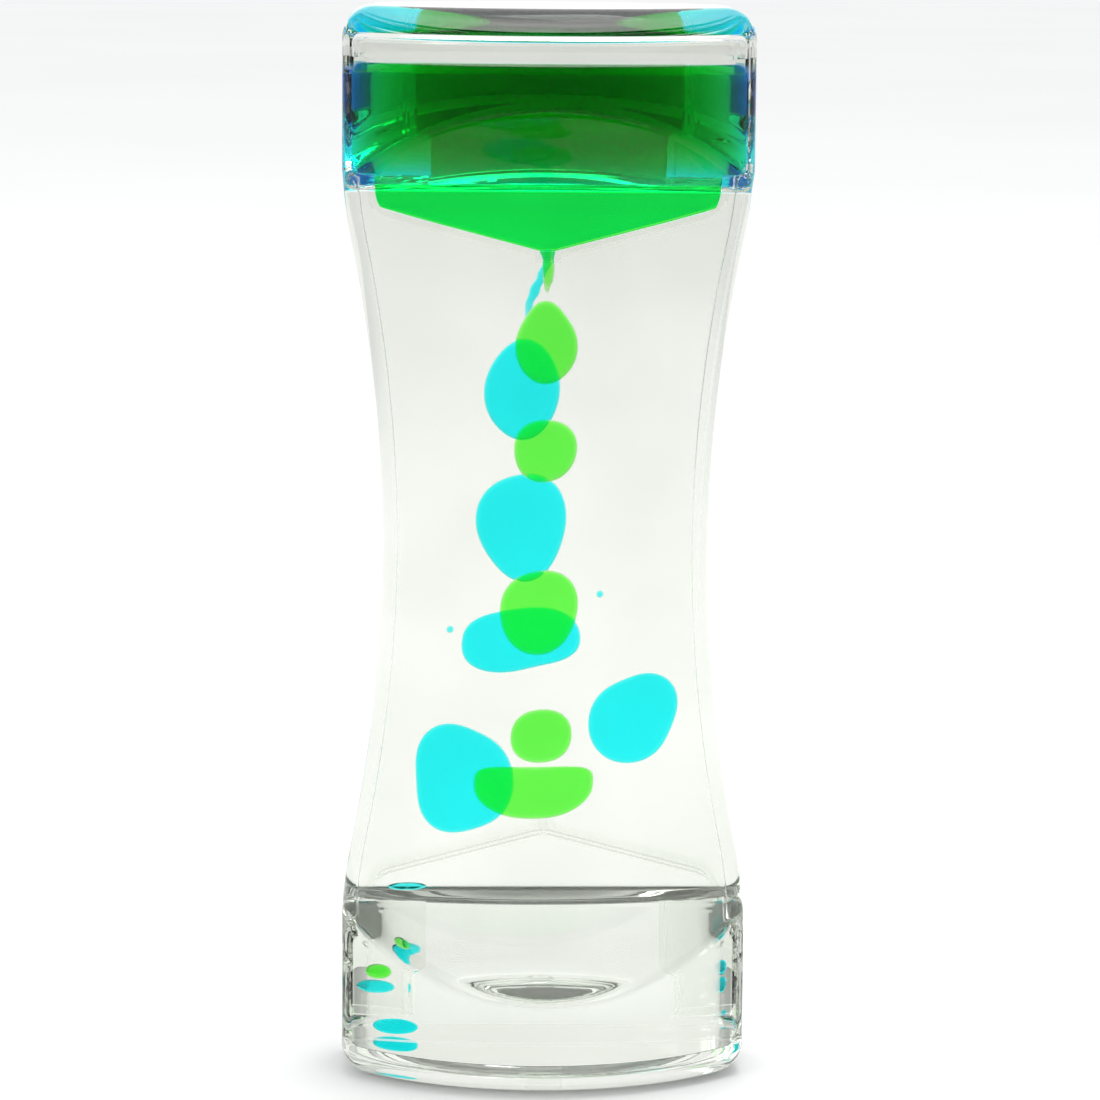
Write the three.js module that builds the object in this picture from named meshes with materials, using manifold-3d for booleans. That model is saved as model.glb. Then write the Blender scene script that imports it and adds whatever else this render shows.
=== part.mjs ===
import * as THREE from 'three';
import { mergeVertices } from 'three/addons/utils/BufferGeometryUtils.js';
import Module from 'manifold-3d';

// Reversible two-colour liquid drip timer ("liquid hourglass").
// Clear hourglass case made of a front and a back shell with a divider plate between them.
// Each side holds its own coloured liquid, which drips through a V shaped funnel.
// Units are millimetres, +Z up, -Y is the front, the base stands on Z = 0.

// ---- driving dimensions ----
const HEIGHT = 136;
const MID_Z = HEIGHT / 2;
const BLOCK_HALF_WIDTH = 25.75;
const WAIST_HALF_WIDTH = 20.65;
const WAIST_CURVE = 0.00265;
const WAIST_BLEND = 1.2;
const FACE_RADIUS = 34;
const BLOCK_HALF_DEPTH = 18;
const WAIST_HALF_DEPTH = 5.4;
const FACE_WALL = 2.4;
const SIDE_WALL = 2.1;
const END_WALL = 3.5;
const CHAMBER_FACE = 2.8;
const SHOULDER_RUN = 1.2;
const SHOULDER_OUTER = 45.4;
const SHOULDER_INNER = 46.4;
const EDGE_RADIUS = 4;
const CORNER_RADIUS = 2.4;
const SEAM = 0.15;
const GAP = 0.3;
const INSERT_GAP = 0.15;
const DROP_GAP = 0.2;
const DIVIDER_THICKNESS = 1.5;
const REBATE = 0.9;

// funnel inserts
const FUNNEL_HALF_WIDTH = 21.8;
const FUNNEL_WALL = 0.9;
const FUNNEL_APEX = 37.2;
const FUNNEL_SLOPE = 0.262;
const FUNNEL_TOP = 48;
const FUNNEL_CORNER = 2.2;
const NOZZLE_HOLE = 0.55;
const NOZZLE_LIP = 1.6;
const RISER_INNER = 15;
const RISER_DEPTH = 3.6;
const RISER_TOP = 60.6;
const PLATE = 0.9;

// liquids
const GREEN_LEVEL = 61;
const BLUE_LEVEL = 59.4;
const LEVEL_ROUND = 1.6;
const PLUG_RADIUS = 2.2;
const PLUG_X = 0;
const PLUG_Y = 8.5;

const wasm = await Module();
wasm.setup();

const group = new THREE.Group();

// ---- basic helpers ----
function toSolid(geometry) {
  const clean = geometry.clone();
  clean.deleteAttribute('normal');
  clean.deleteAttribute('uv');
  const merged = mergeVertices(clean, 1e-4);
  const mesh = new wasm.Mesh({
    numProp: 3,
    vertProperties: new Float32Array(merged.attributes.position.array),
    triVerts: new Uint32Array(merged.index.array),
  });
  return new wasm.Manifold(mesh);
}

function toGeometry(solid) {
  const mesh = solid.getMesh();
  const geometry = new THREE.BufferGeometry();
  const positions = new Float32Array(mesh.numVert * 3);
  for (let i = 0; i < mesh.numVert; i += 1) {
    positions[3 * i] = mesh.vertProperties[mesh.numProp * i];
    positions[3 * i + 1] = mesh.vertProperties[mesh.numProp * i + 1];
    positions[3 * i + 2] = mesh.vertProperties[mesh.numProp * i + 2];
  }
  geometry.setAttribute('position', new THREE.BufferAttribute(positions, 3));
  geometry.setIndex(new THREE.BufferAttribute(new Uint32Array(mesh.triVerts), 1));
  geometry.computeVertexNormals();
  return geometry;
}

// Closed body skinned through rings of equal length, both ends capped.
function loft(rings) {
  const positions = [];
  const index = [];
  const count = rings[0].length;
  for (const ring of rings) {
    for (const point of ring) {
      positions.push(point[0], point[1], point[2]);
    }
  }
  for (let level = 0; level + 1 < rings.length; level += 1) {
    for (let i = 0; i < count; i += 1) {
      const a = level * count + i;
      const b = level * count + (i + 1) % count;
      const c = a + count;
      const d = b + count;
      index.push(a, b, d);
      index.push(a, d, c);
    }
  }
  const last = (rings.length - 1) * count;
  for (let i = 1; i + 1 < count; i += 1) {
    index.push(0, i + 1, i);
    index.push(last, last + i, last + i + 1);
  }
  const geometry = new THREE.BufferGeometry();
  geometry.setAttribute('position', new THREE.BufferAttribute(new Float32Array(positions), 3));
  geometry.setIndex(index);
  return geometry;
}

function box(x0, x1, y0, y1, z0, z1) {
  const geometry = new THREE.BoxGeometry(x1 - x0, y1 - y0, z1 - z0);
  geometry.translate((x0 + x1) / 2, (y0 + y1) / 2, (z0 + z1) / 2);
  return toSolid(geometry);
}

// Plate with an outline in X and Z, running from y0 to y1.
function plate(points, y0, y1) {
  const shape = new THREE.Shape();
  shape.moveTo(points[0][0], points[0][1]);
  for (let i = 1; i < points.length; i += 1) {
    shape.lineTo(points[i][0], points[i][1]);
  }
  shape.closePath();
  const geometry = new THREE.ExtrudeGeometry(shape, { depth: y1 - y0, bevelEnabled: false });
  geometry.rotateX(Math.PI / 2);
  geometry.translate(0, y1, 0);
  return toSolid(geometry);
}

function add(name, solid, color, opacity) {
  const material = new THREE.MeshStandardMaterial({
    color,
    roughness: 0.1,
    metalness: 0,
    transparent: opacity < 1,
    opacity,
  });
  const mesh = new THREE.Mesh(toGeometry(solid), material);
  mesh.name = name;
  group.add(mesh);
}

// ---- hourglass envelope; h is the height from the middle ----
function halfWidth(h) {
  const curve = WAIST_HALF_WIDTH + WAIST_CURVE * h * h;
  const mix = Math.max(0, WAIST_BLEND - Math.abs(curve - BLOCK_HALF_WIDTH)) / WAIST_BLEND;
  return Math.min(curve, BLOCK_HALF_WIDTH) - mix * mix * WAIST_BLEND / 4;
}

function endRound(h, top, radius) {
  const left = top - Math.abs(h);
  if (left >= radius) {
    return 0;
  }
  const reach = radius - Math.max(0, left);
  return radius - Math.sqrt(radius * radius - reach * reach);
}

// Bulged face of the two blocks.
function bulgeDepth(x, inset) {
  const radius = FACE_RADIUS - inset;
  return BLOCK_HALF_DEPTH - inset - radius + Math.sqrt(radius * radius - x * x);
}

// Half section: side wall, rounded corner, face, and back to the other side wall.
// A bulged face leaves the corner at its own slope, a flat face leaves it square to the wall.
function halfRing(h, spec, side, depthAt, round, faceRadius) {
  const width = halfWidth(h) - spec.side - round;
  const corner = spec.corner;
  const lean = faceRadius > 0 ? Math.asin((width - corner * 0.3) / faceRadius) : 0;
  const sweep = Math.PI / 2 - lean;
  const inner = width - corner * (1 - Math.cos(sweep));
  const start = depthAt(inner) - round - corner * Math.sin(sweep);
  const ring = [];
  ring.push([width, spec.back]);
  for (let i = 0; i <= spec.cornerSteps; i += 1) {
    const angle = sweep * i / spec.cornerSteps;
    ring.push([width - corner * (1 - Math.cos(angle)), -(start + corner * Math.sin(angle))]);
  }
  for (let i = 1; i < spec.faceSteps; i += 1) {
    const x = inner * (1 - 2 * i / spec.faceSteps);
    ring.push([x, round - depthAt(x)]);
  }
  for (let i = spec.cornerSteps; i >= 0; i -= 1) {
    const angle = sweep * i / spec.cornerSteps;
    ring.push([-width + corner * (1 - Math.cos(angle)), -(start + corner * Math.sin(angle))]);
  }
  ring.push([-width, spec.back]);
  const placed = ring.map((point) => [point[0], -side * point[1], MID_Z + h]);
  if (side < 0) {
    placed.reverse();
  }
  return placed;
}

function bothEnds(list) {
  return list.map((h) => -h).concat(list).sort((m, n) => m - n);
}

const BEND_STEPS = 7;

function waistLevels(spec) {
  const list = [];
  for (let i = 0; i <= BEND_STEPS; i += 1) {
    list.push(spec.shoulder * Math.sqrt((i + 0.3) / (BEND_STEPS + 0.3)));
  }
  return list;
}

// Lens shaped body with rounded ends, and the slimmer body that cuts the waist and shoulders into it.
function halfBody(spec, side) {
  const lensLevels = waistLevels(spec);
  for (let i = 0; i <= spec.endSteps; i += 1) {
    lensLevels.push(spec.top - spec.endRadius * (1 - Math.sin(Math.PI / 2 * i / spec.endSteps)));
  }
  const bulge = (x) => bulgeDepth(x, spec.face);
  const lens = bothEnds(lensLevels).map((h) => {
    const round = endRound(h, spec.top, spec.endRadius);
    return halfRing(h, spec, side, bulge, round, FACE_RADIUS - spec.face);
  });
  const slimLevels = waistLevels(spec);
  slimLevels.push(spec.shoulder + 16 / SHOULDER_RUN);
  slimLevels.push(spec.top + 2);
  const slimSpec = { ...spec, faceSteps: 1 };
  const slim = bothEnds(slimLevels).map((h) => {
    const run = Math.min(16, SHOULDER_RUN * Math.max(0, Math.abs(h) - spec.shoulder));
    return halfRing(h, slimSpec, side, () => spec.flat + run, 0, 0);
  });
  return toSolid(loft(lens)).intersect(toSolid(loft(slim)));
}

const outerSpec = {
  top: MID_Z,
  endRadius: EDGE_RADIUS,
  endSteps: 4,
  side: 0,
  face: 0,
  flat: WAIST_HALF_DEPTH,
  shoulder: SHOULDER_OUTER,
  corner: CORNER_RADIUS,
  cornerSteps: 3,
  faceSteps: 12,
  back: -SEAM,
};

// The hollow of one shell, pulled in by an extra clearance for what lies inside it.
function hollowSpec(clear) {
  return {
    top: MID_Z - END_WALL - clear,
    endRadius: 1,
    endSteps: 2,
    side: SIDE_WALL + clear,
    face: FACE_WALL + clear,
    flat: CHAMBER_FACE - clear,
    shoulder: SHOULDER_INNER + clear * 0.45,
    corner: 0.9,
    cornerSteps: 2,
    faceSteps: 12,
    back: 1,
  };
}

// Flat panel that follows the hourglass outline.
function outlinePanel(inset, top, y0, y1) {
  const rings = [];
  const steps = 14;
  for (let i = -steps; i <= steps; i += 1) {
    const h = top * i / steps;
    const x = halfWidth(h) - inset;
    rings.push([[x, y0, MID_Z + h], [x, y1, MID_Z + h], [-x, y1, MID_Z + h], [-x, y0, MID_Z + h]]);
  }
  return toSolid(loft(rings));
}

// ---- case shells, divider and plugs ----
const rebateHalf = DIVIDER_THICKNESS / 2 + GAP;
const rebatePanel = outlinePanel(SIDE_WALL - REBATE, MID_Z - END_WALL + REBATE, -rebateHalf, rebateHalf);

function plugHole(side, grow) {
  const geometry = new THREE.CylinderGeometry(PLUG_RADIUS + grow, PLUG_RADIUS + grow, 12, 24);
  geometry.rotateX(Math.PI / 2);
  geometry.translate(PLUG_X, side * PLUG_Y, 0);
  return toSolid(geometry);
}

function shell(side) {
  const outer = halfBody(outerSpec, side);
  const hollow = halfBody(hollowSpec(0), side);
  return outer.subtract(hollow).subtract(rebatePanel).subtract(plugHole(side, 0));
}

add('front_shell', shell(-1), 0xeaf2f2, 0.3);
add('back_shell', shell(1), 0xeaf2f2, 0.3);
const dividerInset = SIDE_WALL - REBATE + GAP;
const dividerTop = MID_Z - END_WALL + REBATE - GAP;
const dividerHalf = DIVIDER_THICKNESS / 2;
add('divider_plate', outlinePanel(dividerInset, dividerTop, -dividerHalf, dividerHalf), 0xe6efef, 0.3);

// Stepped stopper pressed up into the filling hole of one side.
function plug(side) {
  const points = [];
  points.push(new THREE.Vector2(0, 0.4));
  points.push(new THREE.Vector2(PLUG_RADIUS - 0.5, 0.4));
  points.push(new THREE.Vector2(PLUG_RADIUS - 0.08, 0.8));
  points.push(new THREE.Vector2(PLUG_RADIUS - 0.08, 2.6));
  points.push(new THREE.Vector2(PLUG_RADIUS - 0.6, END_WALL - 0.3));
  points.push(new THREE.Vector2(0, END_WALL - 0.3));
  const geometry = new THREE.LatheGeometry(points, 24);
  geometry.rotateX(Math.PI / 2);
  geometry.translate(PLUG_X, side * PLUG_Y, 0);
  return toSolid(geometry);
}

add('front_fill_plug', plug(-1), 0xe8eeee, 0.5);
add('back_fill_plug', plug(1), 0xe8eeee, 0.5);

// ---- funnel inserts, one at each end of each chamber ----
// Right-hand half of the V outline from the top of the side lip down to the nozzle.
function funnelEdge(offset) {
  const edge = [];
  const x = FUNNEL_HALF_WIDTH + offset;
  const slope = FUNNEL_SLOPE;
  const drop = offset * Math.sqrt(1 + slope * slope);
  const cornerZ = FUNNEL_APEX + slope * FUNNEL_HALF_WIDTH - drop;
  const radius = FUNNEL_CORNER + offset;
  edge.push([x, FUNNEL_TOP]);
  for (let i = 0; i <= 4; i += 1) {
    const t = i / 4;
    const a = [x, cornerZ + radius];
    const b = [x, cornerZ];
    const c = [x - radius, cornerZ - slope * radius];
    const u = 1 - t;
    edge.push([
      u * u * a[0] + 2 * u * t * b[0] + t * t * c[0],
      u * u * a[1] + 2 * u * t * b[1] + t * t * c[1],
    ]);
  }
  edge.push([0, FUNNEL_APEX - drop]);
  return edge;
}

function mirrorOutline(edge) {
  const other = edge.slice(0, -1).reverse().map((point) => [-point[0], point[1]]);
  return edge.concat(other);
}

function lift(points) {
  return points.map((point) => [point[0], MID_Z + point[1]]);
}

const slotBack = DIVIDER_THICKNESS / 2 + INSERT_GAP;
const slotFront = CHAMBER_FACE - INSERT_GAP;
const liquidBack = DIVIDER_THICKNESS / 2 + GAP;

// grow swells every wall of the insert, to leave clearance for the liquid around it.
function frontFunnel(grow) {
  const y0 = -6.2 - grow;
  const y1 = -slotBack + grow * 2;
  const cup = plate(lift(mirrorOutline(funnelEdge(FUNNEL_WALL + grow))), y0, y1);
  const inside = mirrorOutline(funnelEdge(-grow));
  inside[0] = [inside[0][0], FUNNEL_TOP + 2];
  inside[inside.length - 1] = [inside[inside.length - 1][0], FUNNEL_TOP + 2];
  let solid = cup.subtract(plate(lift(inside), y0 - 1, y1 + 1));
  const lipTop = FUNNEL_APEX + 0.2;
  const lipHalf = NOZZLE_LIP + grow;
  const lipLow = MID_Z + FUNNEL_APEX - 1.2 - grow;
  solid = solid.add(box(-lipHalf, lipHalf, y0, y1, lipLow, MID_Z + lipTop));
  for (const side of [-1, 1]) {
    const a = side * RISER_INNER;
    const b = side * (FUNNEL_HALF_WIDTH + FUNNEL_WALL);
    const c = side * (BLOCK_HALF_WIDTH - SIDE_WALL - GAP);
    const left = Math.min(a, b) - grow;
    const right = Math.max(a, b) + grow;
    const low = MID_Z + FUNNEL_TOP - PLATE;
    solid = solid.add(box(left, right, y0, y1, low - grow, MID_Z + FUNNEL_TOP + grow));
    const wallLeft = Math.min(a, a + side * PLATE) - grow;
    const wallRight = Math.max(a, a + side * PLATE) + grow;
    const wallTop = MID_Z + RISER_TOP + grow;
    solid = solid.add(box(wallLeft, wallRight, -RISER_DEPTH - grow, y1, low - grow, wallTop));
    const faceLeft = Math.min(a, c) - grow;
    const faceRight = Math.max(a, c) + grow;
    const faceBack = -RISER_DEPTH + PLATE + grow;
    solid = solid.add(box(faceLeft, faceRight, -RISER_DEPTH - grow, faceBack, low - grow, wallTop));
  }
  if (grow === 0) {
    const hole = new THREE.CylinderGeometry(NOZZLE_HOLE, NOZZLE_HOLE, 8, 20);
    hole.rotateX(Math.PI / 2);
    hole.translate(0, -(slotBack + slotFront) / 2, MID_Z + FUNNEL_APEX);
    solid = solid.subtract(toSolid(hole));
  }
  return solid.intersect(halfBody(hollowSpec(Math.max(0, INSERT_GAP - grow)), -1));
}

function flipEnd(solid) {
  return solid.mirror([0, 0, 1]).translate([0, 0, HEIGHT]);
}

function toBack(solid) {
  return solid.mirror([0, 1, 0]);
}

const funnel = frontFunnel(0);
add('upper_front_funnel', funnel, 0xe4eeee, 0.35);
add('lower_front_funnel', flipEnd(funnel), 0xe4eeee, 0.35);
add('upper_back_funnel', toBack(funnel), 0xe4eeee, 0.35);
add('lower_back_funnel', toBack(flipEnd(funnel)), 0xe4eeee, 0.35);

// ---- coloured liquid waiting above the funnel ----
const funnelRoom = frontFunnel(GAP);

function riserRoom(side, grow, level) {
  const a = side * (RISER_INNER - grow);
  const b = side * BLOCK_HALF_WIDTH;
  const low = MID_Z + FUNNEL_TOP - PLATE - grow;
  return box(Math.min(a, b), Math.max(a, b), -RISER_DEPTH - grow, 1, low, MID_Z + level + 2);
}

function reserve(level) {
  const spec = hollowSpec(GAP);
  spec.top = level;
  spec.endRadius = LEVEL_ROUND;
  const room = halfBody(spec, -1);
  const upper = box(-30, 30, -30, -liquidBack, MID_Z + FUNNEL_TOP + GAP, MID_Z + level + 3);
  const edge = mirrorOutline(funnelEdge(-GAP));
  edge[0] = [edge[0][0], FUNNEL_TOP + 1];
  edge[edge.length - 1] = [edge[edge.length - 1][0], FUNNEL_TOP + 1];
  const cup = plate(lift(edge), -12, -liquidBack);
  let liquid = upper.add(cup).intersect(room);
  liquid = liquid.subtract(funnelRoom);
  liquid = liquid.subtract(riserRoom(-1, GAP, level));
  liquid = liquid.subtract(riserRoom(1, GAP, level));
  return liquid;
}

add('green_liquid_reserve', reserve(GREEN_LEVEL), 0x10c830, 0.8);
add('blue_liquid_reserve', toBack(reserve(BLUE_LEVEL)), 0x18b4e0, 0.8);

// ---- falling drops, flattened between the chamber face and the divider ----
const slotMid = (CHAMBER_FACE + DIVIDER_THICKNESS / 2) / 2;
const dropHalf = (CHAMBER_FACE - DIVIDER_THICKNESS / 2) / 2 - DROP_GAP;

// Outline of one drop. lean turns it, tip draws one end out, bend curls it, flat squares it.
function dropOutline(drop, grow, count) {
  const points = [];
  const a = drop.width / 2 + grow;
  const b = drop.height / 2 + grow;
  for (let i = 0; i < count; i += 1) {
    const angle = 2 * Math.PI * i / count;
    const c = Math.cos(angle);
    const s = Math.sin(angle);
    const power = drop.flat;
    const u = Math.sign(c) * Math.pow(Math.abs(c), power);
    const v = Math.sign(s) * Math.pow(Math.abs(s), power);
    const narrow = 1 - drop.egg * v - drop.tip * Math.max(0, v) * Math.max(0, v);
    const x = a * u * narrow;
    const z = b * v + drop.bend * (u * u - 0.5);
    const turn = drop.lean * Math.PI / 180;
    points.push([
      drop.x + x * Math.cos(turn) - z * Math.sin(turn),
      MID_Z + drop.h + x * Math.sin(turn) + z * Math.cos(turn),
    ]);
  }
  return points;
}

function pebble(drop, side, count, bands) {
  const outline = dropOutline(drop, 0, count);
  const half = drop.half === undefined ? dropHalf : drop.half;
  const middle = side * (drop.y === undefined ? slotMid : drop.y);
  const rings = [];
  for (let i = 0; i <= bands; i += 1) {
    const angle = Math.PI * (i / bands - 0.5) * 0.86;
    const y = middle + half * Math.sin(angle) / Math.sin(Math.PI * 0.43);
    const shrink = (1 - Math.cos(angle)) * Math.min(half, drop.height / 2) * 0.9;
    const ring = outline.map((point) => {
      const dx = point[0] - drop.x;
      const dz = point[1] - MID_Z - drop.h;
      const length = Math.hypot(dx, dz);
      const scale = (length - shrink) / length;
      return [drop.x + dx * scale, y, MID_Z + drop.h + dz * scale];
    });
    ring.reverse();
    rings.push(ring);
  }
  return toSolid(loft(rings));
}

function makeDrop(values) {
  return { egg: 0, tip: 0, bend: 0, lean: 0, flat: 1, ...values };
}

const greenDrops = [
  makeDrop({ x: 0.3, h: 26.5, width: 7.6, height: 10.6, tip: 0.42, egg: 0.06, lean: 6 }),
  makeDrop({ x: -0.1, h: 12.1, width: 8.1, height: 8.2, flat: 0.95 }),
  makeDrop({ x: -0.8, h: -8.5, width: 10.1, height: 11.2, egg: 0.03, lean: -8 }),
  makeDrop({ x: -0.4, h: -24.5, width: 8.0, height: 7.1, flat: 0.95 }),
  makeDrop({ x: -0.8, h: -31.6, width: 15.2, height: 6.6, bend: 0.9, flat: 0.86 }),
];
const blueDrops = [
  makeDrop({ x: -2.9, h: 19.4, width: 9.1, height: 12.3, flat: 0.96, lean: -6 }),
  makeDrop({ x: -3.0, h: 1.9, width: 11.3, height: 13.4, egg: -0.1, flat: 0.92 }),
  makeDrop({ x: -2.9, h: -12.8, width: 15.4, height: 7.4, flat: 0.88, lean: 7 }),
  makeDrop({ x: 11.5, h: -23.3, width: 10.6, height: 12.2, tip: 0.1, egg: 0.06, lean: -34 }),
  makeDrop({ x: -10.6, h: -31.2, width: 12.3, height: 14.8, egg: 0.08, flat: 0.92, lean: 10 }),
];
const specks = [
  makeDrop({ x: 7.1, h: -6.6, width: 0.9, height: 0.9, half: 0.45 }),
  makeDrop({ x: -12, h: -11.2, width: 0.9, height: 0.9, half: 0.45 }),
];
const greenBeads = [
  makeDrop({ x: -18.0, h: -51.8, y: 5.4, half: 0.7, width: 2.4, height: 1.2, lean: -40 }),
  makeDrop({ x: -19.8, h: -54.4, y: 5.4, half: 1.0, width: 3.6, height: 1.9 }),
];
const blueBeads = [
  makeDrop({ x: -17.9, h: -58.2, y: 4.6, half: 0.9, width: 4.6, height: 1.7 }),
  makeDrop({ x: -14.9, h: -63.0, y: 4.2, half: 1.3, width: 5.2, height: 2.0 }),
  makeDrop({ x: -17.4, h: -44.8, y: 1.8, half: 0.55, width: 4.9, height: 1.0 }),
];

greenDrops.forEach((drop, i) => add(`green_drop_${i + 1}`, pebble(drop, -1, 24, 5), 0x40e020, 0.85));
blueDrops.forEach((drop, i) => add(`blue_drop_${i + 1}`, pebble(drop, 1, 24, 5), 0x30dce8, 0.85));
specks.forEach((drop, i) => add(`blue_speck_${i + 1}`, pebble(drop, 1, 12, 4), 0x18b4e0, 0.85));
greenBeads.forEach((drop, i) => add(`green_bead_${i + 1}`, pebble(drop, -1, 16, 5), 0x18b830, 0.9));
blueBeads.forEach((drop, i) => add(`blue_bead_${i + 1}`, pebble(drop, 1, 16, 5), 0x18b4e0, 0.9));

// ---- threads of liquid hanging from the two upper nozzles ----
function thread(side, sway, length, thin) {
  const points = [];
  const steps = 9;
  const start = MID_Z + FUNNEL_APEX + 0.1;
  for (let i = 0; i <= steps; i += 1) {
    const t = i / steps;
    const drift = Math.max(0, t - 0.34) / 0.66;
    points.push(new THREE.Vector3(sway * drift, side * slotMid, start - length * t));
  }
  const rings = points.map((point, level) => {
    const t = level / steps;
    const radius = t < 0.45 ? NOZZLE_HOLE - 0.25 : 0.7 * (1 - thin * t);
    const ring = [];
    for (let i = 0; i < 12; i += 1) {
      const angle = -2 * Math.PI * i / 12;
      ring.push([point.x + radius * Math.cos(angle), point.y + radius * Math.sin(angle), point.z]);
    }
    return ring;
  });
  return toSolid(loft(rings));
}

const greenThread = thread(-1, 0, 5.1, 0.72);
const blueThread = thread(1, -2.6, 8.6, 0.55);
add('green_thread', greenThread, 0x40e020, 0.85);
add('blue_thread', blueThread, 0x30dce8, 0.85);

// ---- clear carrier liquid filling everything else in each chamber ----
function carrier(side, level, drops, beads, grains, strand) {
  const place = side < 0 ? (solid) => solid : toBack;
  const hollow = halfBody(hollowSpec(GAP), -1);
  let liquid = hollow.intersect(box(-30, 30, -30, -liquidBack, -1, HEIGHT + 1));
  liquid = liquid.subtract(funnelRoom);
  liquid = liquid.subtract(flipEnd(funnelRoom));
  const lowMid = (slotBack + slotFront) / 2;
  const bore = new THREE.CylinderGeometry(NOZZLE_HOLE - 0.25, NOZZLE_HOLE - 0.25, 6, 16);
  bore.rotateX(Math.PI / 2);
  bore.translate(0, -lowMid, MID_Z - FUNNEL_APEX);
  liquid = liquid.add(toSolid(bore));
  const upperCup = mirrorOutline(funnelEdge(0));
  liquid = liquid.subtract(plate(lift(upperCup), -30, 1));
  const centre = box(-RISER_INNER - GAP, RISER_INNER + GAP, -30, 1, MID_Z + 44, MID_Z + level + GAP);
  liquid = liquid.subtract(centre);
  const front = box(-30, 30, -30, -RISER_DEPTH + 0.2, MID_Z + 47, MID_Z + level + GAP);
  liquid = liquid.subtract(front);
  liquid = place(liquid);
  for (const drop of drops) {
    liquid = liquid.subtract(plate(dropOutline(drop, GAP, 24), -30, 30));
  }
  for (const grain of grains) {
    liquid = liquid.subtract(plate(dropOutline(grain, GAP, 12), -30, 30));
  }
  for (const bead of beads) {
    const spot = side * bead.y;
    const reach = bead.half + GAP;
    const y0 = side < 0 ? spot - reach : -1;
    const y1 = side < 0 ? 1 : spot + reach;
    liquid = liquid.subtract(plate(dropOutline(bead, GAP, 16), y0, y1));
  }
  const strandBox = strand.boundingBox();
  const wide = Math.max(Math.abs(strandBox.min[0]), Math.abs(strandBox.max[0])) + GAP;
  const strandLeft = strandBox.min[0] < -1.5 ? -wide : -1.3;
  const strandTop = MID_Z + FUNNEL_APEX;
  return liquid.subtract(box(strandLeft, 1.3, -30, 30, strandBox.min[2] - GAP, strandTop));
}

const frontCarrier = carrier(-1, GREEN_LEVEL, greenDrops, greenBeads, [], greenThread);
const backCarrier = carrier(1, BLUE_LEVEL, blueDrops, blueBeads, specks, blueThread);
add('front_clear_liquid', frontCarrier, 0xf4f8f8, 0.15);
add('back_clear_liquid', backCarrier, 0xf4f8f8, 0.15);

group.name = 'liquid_hourglass';

export default group;
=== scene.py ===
import math

import bpy
import numpy as np
from mathutils import Matrix, Vector


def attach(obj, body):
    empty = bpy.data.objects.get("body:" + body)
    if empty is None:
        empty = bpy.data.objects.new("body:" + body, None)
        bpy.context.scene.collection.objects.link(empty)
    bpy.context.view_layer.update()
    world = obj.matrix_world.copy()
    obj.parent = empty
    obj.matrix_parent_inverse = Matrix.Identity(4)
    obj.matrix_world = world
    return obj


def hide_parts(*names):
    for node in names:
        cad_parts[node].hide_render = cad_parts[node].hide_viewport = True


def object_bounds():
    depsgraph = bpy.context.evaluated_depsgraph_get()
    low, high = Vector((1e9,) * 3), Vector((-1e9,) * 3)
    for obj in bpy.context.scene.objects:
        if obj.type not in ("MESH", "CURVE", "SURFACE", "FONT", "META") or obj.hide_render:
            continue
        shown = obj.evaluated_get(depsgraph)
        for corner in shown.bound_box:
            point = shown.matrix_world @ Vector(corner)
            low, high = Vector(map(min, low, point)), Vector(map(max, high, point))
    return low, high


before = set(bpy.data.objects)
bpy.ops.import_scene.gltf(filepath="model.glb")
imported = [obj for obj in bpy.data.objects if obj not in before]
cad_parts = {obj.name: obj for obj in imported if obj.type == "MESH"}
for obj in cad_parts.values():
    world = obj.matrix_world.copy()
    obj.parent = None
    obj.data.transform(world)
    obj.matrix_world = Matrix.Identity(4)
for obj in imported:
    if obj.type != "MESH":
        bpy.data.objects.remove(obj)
cad_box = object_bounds()

# Two-colour liquid drip timer: a clear hourglass case with two liquid chambers, green in front and blue
# behind. Shapes are in millimetres, the camera, the floor and the lights in metres.
# x runs across the face, y is the depth (minus is the front), h is the height from the middle.
MM = 0.001
MID = 68.0

# ---------------------------------------------------------------- camera, seen from a little above
scene = bpy.context.scene
low, high = cad_box
centre = (Vector(low) + Vector(high)) / 2
VIEW_DISTANCE = 0.56
VIEW_SHIFT = Vector((0.0007, 0, -0.0010))
VIEW_PITCH = math.radians(8.9)
VIEW_TURN = math.radians(-2.0)
VIEW_ROLL = math.radians(0.45)
LENS_MM = 143.7
SENSOR_MM = 36
target = centre + VIEW_SHIFT
camera_data = bpy.data.cameras.new("camera")
camera = bpy.data.objects.new("camera", camera_data)
scene.collection.objects.link(camera)
back = Vector((math.sin(VIEW_TURN) * math.cos(VIEW_PITCH),
               -math.cos(VIEW_TURN) * math.cos(VIEW_PITCH),
               math.sin(VIEW_PITCH)))
camera.location = target + back * VIEW_DISTANCE
turn = back.to_track_quat("Z", "Y").to_matrix().to_4x4()
camera.matrix_world = Matrix.Translation(camera.location) @ turn @ Matrix.Rotation(VIEW_ROLL, 4, "Z")
camera_data.sensor_width = SENSOR_MM
camera_data.lens = LENS_MM
camera_data.clip_start = 0.01
camera_data.clip_end = 50
scene.camera = camera


# ---------------------------------------------------------------- materials
# A surface between two see-through pieces carries the ratio of their refractive indices, so the wetted
# plastic and the liquids are close to 1, while the outer and the dry plastic meet air.
BUMP_DETAIL = 2.0
TINT_DETAIL = 3.0
TINT_LOW = 0.35
TINT_HIGH = 0.7


def new_material(name):
    material = bpy.data.materials.new(name)
    material.use_nodes = True
    tree = material.node_tree
    shader = tree.nodes["Principled BSDF"]
    return material, tree, shader


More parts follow.
